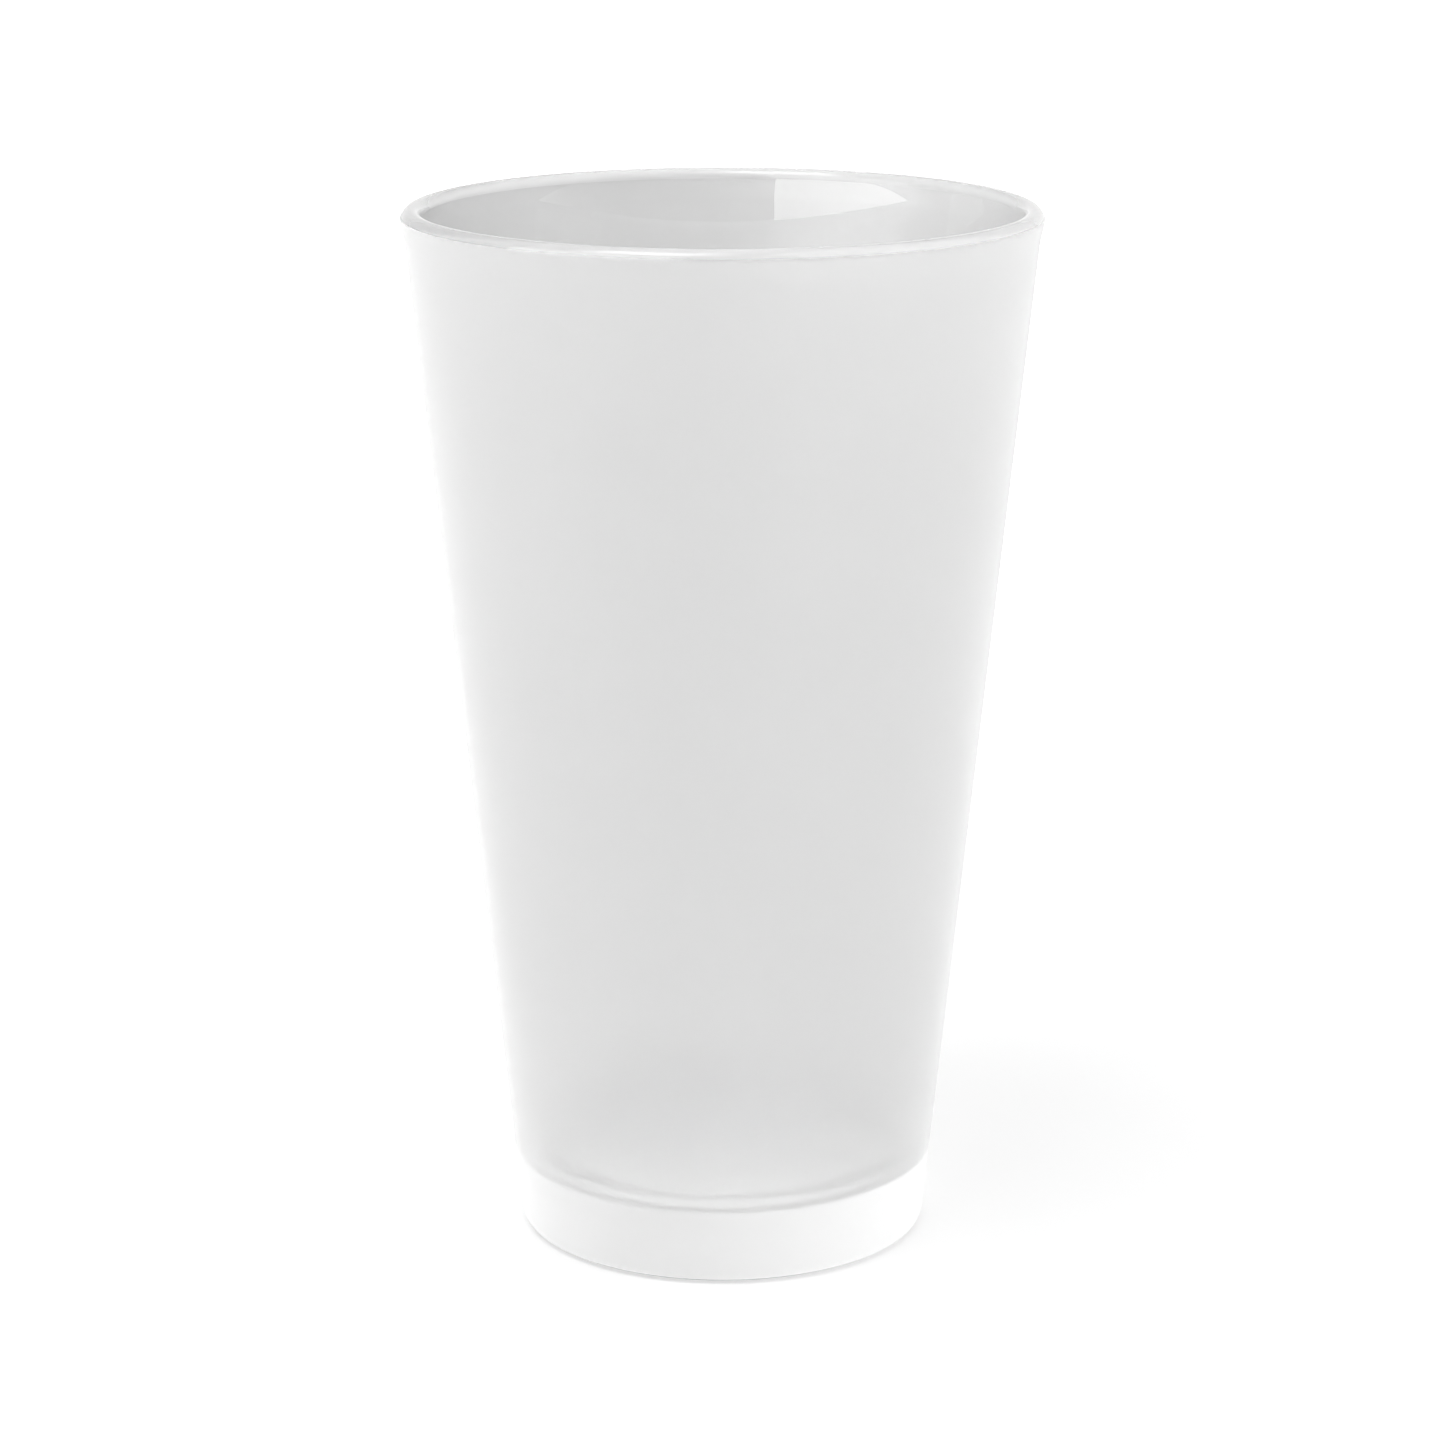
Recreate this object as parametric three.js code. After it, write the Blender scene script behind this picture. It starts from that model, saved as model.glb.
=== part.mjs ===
// Frosted pint glass: a tapered 16 fl oz tumbler with a matte coating on its outside wall.
// Millimetres, +Z up. The origin is the centre of the foot, on the surface that the glass stands on.
import * as THREE from 'three';

// Driving dimensions of the glass
const HEIGHT = 148;
const RIM_RADIUS = 44.45; // over the rounded bead at the lip
const BEAD_STANDOFF = 0.15; // the bead stands this far proud of the tapered wall
const BEAD_BLEND = 3.5; // height over which the wall swells into the bead
const FOOT_RADIUS = 29.1; // where the tapered wall would meet the table
const FOOT_CORNER = 1.5; // rounding between the wall and the underside
const RIM_WALL = 2.9; // wall thickness at the lip, rounded over in a half circle
const FLOOR_WALL = 4.2; // wall thickness at the level of the cup's floor
const FLOOR_HEIGHT = 9.6; // the cup's floor above the table
const FLOOR_CORNER = 6; // rounding between the cup's wall and its floor
const PUNT_RADIUS = 22; // the shallow hollow under the foot, inside the ring that it stands on
const PUNT_DEPTH = 2.2;

// Driving dimensions of the coating
const COATING_THICKNESS = 0.12;
const COATING_START = THREE.MathUtils.degToRad(-40); // on the foot's rounding, from the horizontal
const COATING_END = THREE.MathUtils.degToRad(12); // on the lip's rounding, from the horizontal

const SIDES = 64; // facets around the glass

// Values that follow from the dimensions
const BEAD_RADIUS = RIM_WALL / 2;
const BEAD_CENTRE = new THREE.Vector2(RIM_RADIUS - BEAD_RADIUS, HEIGHT - BEAD_RADIUS);
const SLOPE = (RIM_RADIUS - BEAD_STANDOFF - FOOT_RADIUS) / HEIGHT;
const TAPER = Math.atan(SLOPE);
const RIGHT_ANGLE = Math.PI / 2;

// Radius of the tapered outside wall at a height.
function wallRadius(height) {
  return FOOT_RADIUS + SLOPE * height;
}

// Points along a circle's arc, both ends included. Angles run from the outward horizontal.
function arc(centre, radius, from, to, steps) {
  const points = [];
  for (let step = 0; step <= steps; step += 1) {
    const angle = from + ((to - from) * step) / steps;
    const spoke = new THREE.Vector2(Math.cos(angle), Math.sin(angle));
    points.push(spoke.multiplyScalar(radius).add(centre));
  }
  return points;
}

// The foot's rounding touches the table and the tapered wall.
function footArc(from, to, steps) {
  const reach = FOOT_CORNER / Math.cos(TAPER);
  const centre = new THREE.Vector2(wallRadius(FOOT_CORNER) - reach, FOOT_CORNER);
  return arc(centre, FOOT_CORNER, from, to, steps);
}

// The wall swells smoothly from its taper into the bead's widest circle.
function beadBlend(steps) {
  const points = [];
  for (let step = 0; step < steps; step += 1) {
    const share = step / steps;
    const height = BEAD_CENTRE.y - BEAD_BLEND * (1 - share);
    const swell = (RIM_RADIUS - wallRadius(BEAD_CENTRE.y)) * THREE.MathUtils.smoothstep(share, 0, 1);
    points.push(new THREE.Vector2(wallRadius(height) + swell, height));
  }
  return points;
}

// The stretch of the outside that the coating covers, from the foot's rounding to the lip's.
function coatedOutline() {
  return [
    ...footArc(COATING_START, -TAPER, 2),
    ...beadBlend(3),
    ...arc(BEAD_CENTRE, BEAD_RADIUS, 0, COATING_END, 1),
  ];
}

// Underside: from the axis across the hollow to the flat ring that the glass stands on.
function puntOutline() {
  const radius = (PUNT_RADIUS ** 2 + PUNT_DEPTH ** 2) / (2 * PUNT_DEPTH);
  const centre = new THREE.Vector2(0, PUNT_DEPTH - radius);
  const edge = Math.asin(-centre.y / radius);
  return arc(centre, radius, RIGHT_ANGLE, edge, 5);
}

// Inside: down from the lip, round the floor's corner and across the flat floor to the axis.
function cupOutline() {
  const lip = RIM_RADIUS - RIM_WALL;
  const atFloor = wallRadius(FLOOR_HEIGHT) - FLOOR_WALL;
  const slope = (lip - atFloor) / (BEAD_CENTRE.y - FLOOR_HEIGHT);
  const taper = Math.atan(slope);
  const reach = FLOOR_CORNER / Math.cos(taper);
  const centre = new THREE.Vector2(atFloor + slope * FLOOR_CORNER - reach, FLOOR_HEIGHT + FLOOR_CORNER);
  return [
    ...arc(centre, FLOOR_CORNER, -taper, -RIGHT_ANGLE, 5),
    new THREE.Vector2(0, FLOOR_HEIGHT),
  ];
}

// One piece of glass: hollow foot, standing ring, tapered wall, rounded lip and cup.
function glassOutline() {
  return [
    ...puntOutline(),
    ...footArc(-RIGHT_ANGLE, COATING_START, 2).slice(0, -1),
    ...coatedOutline(),
    ...arc(BEAD_CENTRE, BEAD_RADIUS, COATING_END, RIGHT_ANGLE, 3).slice(1),
    ...arc(BEAD_CENTRE, BEAD_RADIUS, RIGHT_ANGLE, Math.PI, 3).slice(1),
    ...cupOutline(),
  ];
}

// A skin on the coated stretch: up its inner face on the glass, then down its outer face.
function coatingOutline() {
  const inner = coatedOutline();
  const outer = inner.map((point) => new THREE.Vector2(point.x + COATING_THICKNESS, point.y));
  return [...outer, ...inner.reverse(), outer[0].clone()];
}

// Turns an outline round the glass's upright axis.
function turned(name, outline, material) {
  const geometry = new THREE.LatheGeometry(outline, SIDES);
  geometry.rotateX(RIGHT_ANGLE);
  const mesh = new THREE.Mesh(geometry, material);
  mesh.name = name;
  return mesh;
}

const clearGlass = new THREE.MeshStandardMaterial({ color: 0xe4eaea, roughness: 0.04, metalness: 0 });
const frostedWhite = new THREE.MeshStandardMaterial({ color: 0xe6e7e8, roughness: 0.6, metalness: 0 });

const pintGlass = new THREE.Group();
pintGlass.add(turned('glass_body', glassOutline(), clearGlass));
pintGlass.add(turned('frosted_coating', coatingOutline(), frostedWhite));

export default pintGlass;
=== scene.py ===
"""Frosted pint glass: fine meshes, materials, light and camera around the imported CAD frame.

Metres, +Z up. The glass stands on the plane z = 0 with its axis on the z axis.
"""

import math

import bmesh
import bpy
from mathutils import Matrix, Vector


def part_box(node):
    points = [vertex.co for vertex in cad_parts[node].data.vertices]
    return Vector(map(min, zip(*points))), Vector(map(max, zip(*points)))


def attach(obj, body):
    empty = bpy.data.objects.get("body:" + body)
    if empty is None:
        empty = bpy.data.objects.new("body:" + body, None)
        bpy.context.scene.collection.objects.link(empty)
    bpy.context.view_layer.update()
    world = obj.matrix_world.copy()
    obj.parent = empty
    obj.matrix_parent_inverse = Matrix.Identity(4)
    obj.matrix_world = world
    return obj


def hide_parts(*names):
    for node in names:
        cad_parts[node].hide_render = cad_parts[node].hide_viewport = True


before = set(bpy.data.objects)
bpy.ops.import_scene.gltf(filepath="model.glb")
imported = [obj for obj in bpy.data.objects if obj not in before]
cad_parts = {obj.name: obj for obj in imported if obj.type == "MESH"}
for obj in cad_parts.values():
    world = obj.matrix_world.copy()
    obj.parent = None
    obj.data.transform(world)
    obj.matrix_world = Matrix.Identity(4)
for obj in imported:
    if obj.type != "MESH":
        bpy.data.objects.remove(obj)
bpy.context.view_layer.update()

MM = 0.001

# Overall size, from the CAD nodes
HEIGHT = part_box("glass_body")[1].z
RIM_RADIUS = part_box("glass_body")[1].x
COATING_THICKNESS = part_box("frosted_coating")[1].x - RIM_RADIUS
COATING_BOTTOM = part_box("frosted_coating")[0].z
COATING_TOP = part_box("frosted_coating")[1].z

# The glass's section, as the CAD model has it
BEAD_STANDOFF = 0.15 * MM
BEAD_BLEND = 3.5 * MM
FOOT_RADIUS = 29.1 * MM
FOOT_CORNER = 1.5 * MM
RIM_WALL = 2.9 * MM
FLOOR_WALL = 4.2 * MM
FLOOR_HEIGHT = 9.6 * MM
FLOOR_CORNER = 6 * MM
PUNT_RADIUS = 22 * MM
PUNT_DEPTH = 2.2 * MM
COATING_START = math.radians(-40)
COATING_END = math.radians(12)

# Fineness of the visible meshes
SIDES = 256
ARC_STEP = math.radians(6)
WALL_STEP = 2 * MM
BLEND_STEPS = 8
PUNT_STEPS = 12
SHARP_CREASE = math.radians(35)
ON_AXIS = 1e-6 * MM
COATING_GAP = 0.01 * MM

# The tumbler's finishes, in the order of its material slots, and how their faces are told apart
INSIDE, UNDERNEATH, COATED, LIP = range(4)
ON_WALL = 0.5 * MM
FACING_DOWN = -0.8

# Glass and frost. CLEAR is the share that acts as glass, and the rest is matte.
GLASS_IOR = 1.52
INSIDE_ROUGHNESS = 0.0
INSIDE_CLEAR = 1.0
# The lip is polished clear glass. Its matte white share is painted light, which brightens the lip.
RIM_ROUGHNESS = 0.05
RIM_CLEAR = 0.66
BOND_ROUGHNESS = 0.2
BOND_CLEAR = 0.7
GROUND_ROUGHNESS = 0.6
GROUND_CLEAR = 0.6
COAT_IOR = 1.45
# Over the heel the coat is whiter and less clear: painted light, which brightens the solid base.
HEEL_HEIGHT = FLOOR_HEIGHT + 1.6 * MM
HEEL_EDGE = 0.4 * MM
HEEL_PAINTED_LIGHT_WHITE = 1.0
HEEL_PAINTED_LIGHT_CLEAR = 0.4
WALL_WHITE = 0.992
WALL_CLEAR = 0.82
FROST_ROUGHNESS = 0.29
SHEEN = 0.75
SHEEN_ROUGHNESS = 0.6

# Fine detail of the surfaces
NOISE_LOW = 0.3
NOISE_HIGH = 0.7
GRAIN_SIZE = 0.35 * MM
GRAIN_DEPTH = 0.004 * MM
GRAIN_DETAIL = 3
CLOUD_SIZE = 14 * MM
CLOUD_DETAIL = 2
WHITE_SWING = 0.004
CLEAR_SWING = 0.01
ROUGHNESS_SWING = 0.01
PRESSED_RIPPLE = 18 * MM
PRESSED_DEPTH = 0.015 * MM
RIPPLE_DETAIL = 1
GROUND_GRAIN = 0.5 * MM
GROUND_DEPTH = 0.02 * MM

# Camera
CAMERA_DISTANCE = 0.559
CAMERA_HEIGHT = 0.2213
CAMERA_LENS = 100.7
SENSOR_WIDTH = 36.0

# Floor. Seen directly, its glow rises with the distance. Otherwise it glows evenly.
FLOOR_SIZE = 30.0
FLOOR_GAP = 0.05 * MM
FLOOR_WHITE = 0.5
PAPER_ROUGHNESS = 0.9
FLOOR_GLOW_NEAR = 0.46
FLOOR_GLOW_FAR = 1.0
GLOW_START = 0.12
GLOW_END = 0.5
FLOOR_GLOW_THROUGH = 0.66
PAD_SIDES = 64
PAD_WHITE = 0.9
PAD_GLOW = 0.9

# Studio. It dims toward the camera's side, between two cosines of the angle to that side.
DIM_SIDE = (0, -1, 0)
DIM_START = -0.05
DIM_END = 0.82
BACKDROP = 1.1
WORLD_BRIGHT = 1.05
WORLD_DIM = 0.12
KEY_PLACE = (-0.3, -0.35, 1.1)
KEY_SIZE = (0.6, 0.6)
KEY_POWER = 5.5
SIDE_PLACE = (-0.9, -0.75, 0.5)
SIDE_SIZE = (1.4, 1.0)
SIDE_POWER = 12
FILL_PLACE = (1.0, -0.35, 0.35)
FILL_SIZE = (0.6, 0.7)
FILL_POWER = 6.5
BOUNCES = 64
DIFFUSE_BOUNCES = 32

BEAD_RADIUS = RIM_WALL / 2
BEAD_CENTRE = Vector((RIM_RADIUS - BEAD_RADIUS, HEIGHT - BEAD_RADIUS))
SLOPE = (RIM_RADIUS - BEAD_STANDOFF - FOOT_RADIUS) / HEIGHT
TAPER = math.atan(SLOPE)
RIGHT_ANGLE = math.pi / 2


def wall_radius(height):
    """Radius of the tapered outside wall at a height."""
    return FOOT_RADIUS + SLOPE * height


def smoothstep(share):
    """A share from 0 to 1, eased at both ends."""
    return share * share * (3 - 2 * share)


def arc(centre, radius, start, end):
    """Points along a circle's arc, both ends included. Angles run from the outward horizontal."""
    steps = max(2, round(abs(end - start) / ARC_STEP))
    angles = [start + (end - start) * step / steps for step in range(steps + 1)]
    return [centre + radius * Vector((math.cos(a), math.sin(a))) for a in angles]


def straight(start, end):
    """Points between two ends, which are left out."""
    steps = max(1, round((end - start).length / WALL_STEP))
    return [start.lerp(end, step / steps) for step in range(1, steps)]


def foot_arc(start, end):
    """The rounding between the table and the tapered wall."""
    reach = FOOT_CORNER / math.cos(TAPER)
    centre = Vector((wall_radius(FOOT_CORNER) - reach, FOOT_CORNER))
    return arc(centre, FOOT_CORNER, start, end)


def bead_blend():
    """The wall swells smoothly from its taper into the bead's widest circle."""
    swell = RIM_RADIUS - wall_radius(BEAD_CENTRE.y)
    points = []
    for step in range(BLEND_STEPS):
        share = step / BLEND_STEPS
        height = BEAD_CENTRE.y - BEAD_BLEND * (1 - share)
        points.append(Vector((wall_radius(height) + swell * smoothstep(share), height)))
    return points


def coated_outline():
    """The stretch of the outside that the coating covers."""
    foot = foot_arc(COATING_START, -TAPER)
    blend = bead_blend()
    lip = arc(BEAD_CENTRE, BEAD_RADIUS, 0, COATING_END)
    return foot + straight(foot[-1], blend[0]) + blend + lip


def punt_outline():
    """The shallow hollow under the foot, from the axis to the ring that the glass stands on."""
    radius = (PUNT_RADIUS**2 + PUNT_DEPTH**2) / (2 * PUNT_DEPTH)
    centre = Vector((0, PUNT_DEPTH - radius))
    edge = math.asin(-centre.y / radius)
    turn = edge - RIGHT_ANGLE
    angles = [RIGHT_ANGLE + turn * step / PUNT_STEPS for step in range(PUNT_STEPS + 1)]
    return [centre + radius * Vector((math.cos(a), math.sin(a))) for a in angles]


def cup_outline():
    """Down the inside from the lip, round the floor's corner and across the floor to the axis."""
    lip = Vector((RIM_RADIUS - RIM_WALL, BEAD_CENTRE.y))
    at_floor = wall_radius(FLOOR_HEIGHT) - FLOOR_WALL
    slope = (lip.x - at_floor) / (lip.y - FLOOR_HEIGHT)
    taper = math.atan(slope)
    reach = FLOOR_CORNER / math.cos(taper)
    centre = Vector((at_floor + slope * FLOOR_CORNER - reach, FLOOR_HEIGHT + FLOOR_CORNER))
    corner = arc(centre, FLOOR_CORNER, -taper, -RIGHT_ANGLE)
    middle = Vector((0, FLOOR_HEIGHT))
    return straight(lip, corner[0]) + corner + straight(corner[-1], middle) + [middle]


def glass_outline():
    """One piece of glass, from the middle of its underside round to the middle of its floor."""
    punt = punt_outline()
    foot = foot_arc(-RIGHT_ANGLE, COATING_START)
    lip = arc(BEAD_CENTRE, BEAD_RADIUS, COATING_END, math.pi)
    return punt + straight(punt[-1], foot[0]) + foot[:-1] + coated_outline() + lip[1:] + cup_outline()


def coating_outline():
    """A closed skin just outside the glass."""
    inner = [point + Vector((COATING_GAP, 0)) for point in coated_outline()]
    outer = [point + Vector((COATING_THICKNESS, 0)) for point in coated_outline()]
    return outer + inner[::-1]


def new_object(name, data):
    """An object for a mesh, a lamp or a camera, put into the scene."""
    item = bpy.data.objects.new(name, data)
    bpy.context.scene.collection.objects.link(item)
    return item


def face_glass(item):
    """Turns the camera or a lamp toward the middle of the glass."""
    aim = Vector((0, 0, HEIGHT / 2)) - item.location
    item.rotation_euler = aim.to_track_quat("-Z", "Y").to_euler()


def turned(name, outline, closed):
    """A mesh object with the outline turned round the z axis."""
    mesh = bmesh.new()
    rings = []
    for point in outline:
        if point.x < ON_AXIS:
            rings.append([mesh.verts.new((0, 0, point.y))] * SIDES)
            continue
        ring = []
        for side in range(SIDES):
            angle = 2 * math.pi * side / SIDES
            place = (point.x * math.cos(angle), point.x * math.sin(angle), point.y)
            ring.append(mesh.verts.new(place))
        rings.append(ring)
    pairs = list(zip(rings, rings[1:]))
    if closed:
        pairs.append((rings[-1], rings[0]))
    for lower, upper in pairs:
        for side in range(SIDES):
            after = (side + 1) % SIDES
            corners = [lower[side], lower[after], upper[after], upper[side]]
            mesh.faces.new(list(dict.fromkeys(corners)))
    bmesh.ops.recalc_face_normals(mesh, faces=mesh.faces)
    data = bpy.data.meshes.new(name)
    mesh.to_mesh(data)
    mesh.free()
    data.shade_smooth()
    data.set_sharp_from_angle(angle=SHARP_CREASE)
    return new_object(name, data)


def principled(name):
    """A new material and its shader."""
    material = bpy.data.materials.new(name)
    material.use_nodes = True
    return material, material.node_tree.nodes["Principled BSDF"]


def grey(level):
    """A colour without a hue, from 0 for black to 1 for white."""
    return (level, level, level, 1)


def remap(tree, value, source, target, interpolation="LINEAR"):
    """Maps one range of values onto another, and holds its ends outside it."""
    node = tree.nodes.new("ShaderNodeMapRange")
    node.interpolation_type = interpolation
    for name, number in zip(("From Min", "From Max", "To Min", "To Max"), source + target):
        node.inputs[name].default_value = number
    tree.links.new(value, node.inputs["Value"])
    return node.outputs["Result"]


def feed(tree, value, socket):
    """Gives a socket a number, or what another socket puts out."""
    if isinstance(value, bpy.types.NodeSocket):
        tree.links.new(value, socket)
    else:
        socket.default_value = value


def mix(tree, share, low, high):
    """The low value where the share is 0, and the high value where it is 1."""
    node = tree.nodes.new("ShaderNodeMix")
    feed(tree, share, node.inputs["Factor"])
    feed(tree, low, node.inputs["A"])
    feed(tree, high, node.inputs["B"])
    return node.outputs["Result"]


def noise(tree, size, detail):
    """Solid noise whose patches are about a size across."""
    place = tree.nodes.new("ShaderNodeTexCoord")
    texture = tree.nodes.new("ShaderNodeTexNoise")
    texture.inputs["Scale"].default_value = 1 / size
    texture.inputs["Detail"].default_value = detail
    tree.links.new(place.outputs["Object"], texture.inputs["Vector"])
    return texture.outputs["Fac"]


def spread(tree, value, middle, swing):
    """Noise turned into values that swing around a middle one."""
    return remap(tree, value, (NOISE_LOW, NOISE_HIGH), (middle - swing, middle + swing))


def emboss(tree, shader, relief, depth):
    """Raises the surface by the relief, up to a depth."""
    bump = tree.nodes.new("ShaderNodeBump")
    bump.inputs["Distance"].default_value = depth
    tree.links.new(relief, bump.inputs["Height"])
    tree.links.new(bump.outputs["Normal"], shader.inputs["Normal"])


def above(tree, height):
    """0 below a height on the object and 1 above it, with a short slope between."""
    place = tree.nodes.new("ShaderNodeTexCoord")
    split = tree.nodes.new("ShaderNodeSeparateXYZ")
    tree.links.new(place.outputs["Object"], split.inputs["Vector"])
    return remap(tree, split.outputs["Z"], (height - HEEL_EDGE, height + HEEL_EDGE), (0, 1))


def glass(name, roughness, clearness, ripple, depth):
    """Colourless glass whose surface ripples, such as the pressed inside or the ground underside."""
    material, shader = principled(name)
    tree = material.node_tree
    shader.inputs["Base Color"].default_value = grey(1)
    shader.inputs["Roughness"].default_value = roughness
    shader.inputs["IOR"].default_value = GLASS_IOR
    shader.inputs["Transmission Weight"].default_value = clearness
    emboss(tree, shader, noise(tree, ripple, RIPPLE_DETAIL), depth)
    return material


def frosted():
    """The coat lets light through on the wall, and is close to solid white over the solid base. That
    white is painted light, which stands in for the light gathering in the thick base.
    """
    material, shader = principled("frosted_coating")
    tree = material.node_tree
    on_wall = above(tree, HEEL_HEIGHT)
    cloud = noise(tree, CLOUD_SIZE, CLOUD_DETAIL)
    grain = noise(tree, GRAIN_SIZE, GRAIN_DETAIL)
    wall_white = spread(tree, cloud, WALL_WHITE, WHITE_SWING)
    wall_clear = spread(tree, cloud, WALL_CLEAR, CLEAR_SWING)
    roughness = spread(tree, grain, FROST_ROUGHNESS, ROUGHNESS_SWING)
    # Painted light: the heel takes a whiter, more matte coat, which brightens the solid base.
    whiteness = mix(tree, on_wall, HEEL_PAINTED_LIGHT_WHITE, wall_white)
    clearness = mix(tree, on_wall, HEEL_PAINTED_LIGHT_CLEAR, wall_clear)
    tree.links.new(whiteness, shader.inputs["Base Color"])
    tree.links.new(clearness, shader.inputs["Transmission Weight"])
    tree.links.new(roughness, shader.inputs["Roughness"])
    emboss(tree, shader, grain, GRAIN_DEPTH)
    shader.inputs["IOR"].default_value = COAT_IOR
    shader.inputs["Sheen Weight"].default_value = SHEEN
    shader.inputs["Sheen Roughness"].default_value = SHEEN_ROUGHNESS
    return material


def floor_material():
    """White paper, evenly lit far away. Near the glass it also takes shadows when seen directly."""
    material, shader = principled("studio_floor")
    shader.inputs["Base Color"].default_value = grey(FLOOR_WHITE)
    shader.inputs["Roughness"].default_value = PAPER_ROUGHNESS
    shader.inputs["Emission Color"].default_value = grey(1)
    shader.inputs["Specular IOR Level"].default_value = 0.0
    tree = material.node_tree
    place = tree.nodes.new("ShaderNodeTexCoord")
    away = tree.nodes.new("ShaderNodeVectorMath")
    away.operation = "LENGTH"
    tree.links.new(place.outputs["Object"], away.inputs[0])
    distances = (GLOW_START, GLOW_END)
    seen = remap(tree, away.outputs["Value"], distances, (FLOOR_GLOW_NEAR, FLOOR_GLOW_FAR))
    path = tree.nodes.new("ShaderNodeLightPath")
    glow = mix(tree, path.outputs["Is Camera Ray"], FLOOR_GLOW_THROUGH, seen)
    tree.links.new(glow, shader.inputs["Emission Strength"])
    return material


def add_camera():
    """The camera looks at the middle of the glass, from the front and a little above it."""
    data = bpy.data.cameras.new("camera")
    data.lens = CAMERA_LENS
    data.sensor_width = SENSOR_WIDTH
    camera = new_object("camera", data)
    camera.location = (0, -CAMERA_DISTANCE, CAMERA_HEIGHT)
    face_glass(camera)
    bpy.context.scene.camera = camera


def add_floor():
    """A floor that is wide enough to reach the horizon in every view."""
    half = FLOOR_SIZE / 2
    corners = [(-half, -half, 0), (half, -half, 0), (half, half, 0), (-half, half, 0)]
    mesh = bpy.data.meshes.new("studio_floor")
    mesh.from_pydata(corners, [], [(0, 1, 2, 3)])
    mesh.materials.append(floor_material())
    floor = new_object("studio_floor", mesh)
    floor.location.z = -FLOOR_GAP


def add_light_pad():
    """A lit disc that the foot hides, for the light that white paper sends up through the base."""
    mesh = bpy.data.meshes.new("light_pad")
    shape = bmesh.new()
    radius = FOOT_RADIUS - 2 * FOOT_CORNER
    bmesh.ops.create_circle(shape, cap_ends=True, segments=PAD_SIDES, radius=radius)
    shape.to_mesh(mesh)
    shape.free()
    material, shader = principled("light_pad")
    shader.inputs["Base Color"].default_value = grey(PAD_WHITE)
    shader.inputs["Emission Color"].default_value = grey(1)
    shader.inputs["Emission Strength"].default_value = PAD_GLOW
    mesh.materials.append(material)
    pad = new_object("light_pad", mesh)
    pad.location.z = -FLOOR_GAP / 2


def add_world():
    """A white studio that is dimmer on the camera's side, and plain white where the camera sees it."""
    world = bpy.data.worlds.new("studio")
    world.use_nodes = True
    tree = world.node_tree
    background = tree.nodes["Background"]
    place = tree.nodes.new("ShaderNodeTexCoord")
    facing = tree.nodes.new("ShaderNodeVectorMath")
    facing.operation = "DOT_PRODUCT"
    facing.inputs[1].default_value = DIM_SIDE
    tree.links.new(place.outputs["Generated"], facing.inputs[0])
    cosines = (DIM_START, DIM_END)
    brightness = (WORLD_BRIGHT, WORLD_DIM)
    shade = remap(tree, facing.outputs["Value"], cosines, brightness, "SMOOTHSTEP")
    path = tree.nodes.new("ShaderNodeLightPath")
    strength = mix(tree, path.outputs["Is Camera Ray"], shade, BACKDROP)
    tree.links.new(strength, background.inputs["Strength"])
    background.inputs["Color"].default_value = grey(1)
    bpy.context.scene.world = world


def add_softbox(name, place, size, power, rays):
    """A lamp that only lights the named kinds of rays. The camera never sees it."""
    data = bpy.data.lights.new(name, "AREA")
    data.shape = "RECTANGLE"
    data.size = size[0]
    data.size_y = size[1]
    data.energy = power
    light = new_object(name, data)
    light.location = place
    face_glass(light)
    light.visible_diffuse = "diffuse" in rays
    light.visible_glossy = "glossy" in rays
    light.visible_transmission = "transmission" in rays
    light.visible_camera = False


def add_piece(name, outline, closed, material, node):
    """A turned piece that is shown in place of its CAD node."""
    piece = turned(name, outline, closed)
    piece.data.materials.append(material)
    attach(piece, "root")
    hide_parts(node)
    return piece


def finish(polygon):
    """Which of the tumbler's finishes a face has."""
    centre = polygon.center
    from_wall = abs(centre.xy.length - wall_radius(centre.z))
    if centre.z < PUNT_DEPTH and polygon.normal.z < FACING_DOWN:
        return UNDERNEATH
    if from_wall < ON_WALL and COATING_BOTTOM < centre.z < COATING_TOP:
        return COATED
    if centre.z > BEAD_CENTRE.y:
        return LIP
    return INSIDE


def add_tumbler():
    """The glass, with its own finish inside, underneath, under the coating and on the lip."""
    inside = glass("clear_glass", INSIDE_ROUGHNESS, INSIDE_CLEAR, PRESSED_RIPPLE, PRESSED_DEPTH)
    ground = glass("ground_glass", GROUND_ROUGHNESS, GROUND_CLEAR, GROUND_GRAIN, GROUND_DEPTH)
    bonded = glass("bonded_glass", BOND_ROUGHNESS, BOND_CLEAR, GRAIN_SIZE, GRAIN_DEPTH)
    # The lip's matte white share is painted light on polished clear glass.
    lip = glass("polished_rim_painted_light", RIM_ROUGHNESS, RIM_CLEAR, PRESSED_RIPPLE, PRESSED_DEPTH)
    tumbler = add_piece("tumbler", glass_outline(), False, inside, "glass_body")
    for material in (ground, bonded, lip):
        tumbler.data.materials.append(material)
    for polygon in tumbler.data.polygons:
        polygon.material_index = finish(polygon)


add_camera()
add_floor()
add_light_pad()
add_world()
add_softbox("key_softbox", KEY_PLACE, KEY_SIZE, KEY_POWER, ("diffuse", "glossy"))
add_softbox("side_softbox", SIDE_PLACE, SIDE_SIZE, SIDE_POWER, ("glossy", "transmission"))
add_softbox("fill_softbox", FILL_PLACE, FILL_SIZE, FILL_POWER, ("diffuse",))
add_tumbler()
add_piece("frost_skin", coating_outline(), True, frosted(), "frosted_coating")

scene = bpy.context.scene
scene.view_settings.view_transform = "Standard"
scene.cycles.max_bounces = BOUNCES
scene.cycles.glossy_bounces = BOUNCES
scene.cycles.transmission_bounces = BOUNCES
scene.cycles.diffuse_bounces = DIFFUSE_BOUNCES
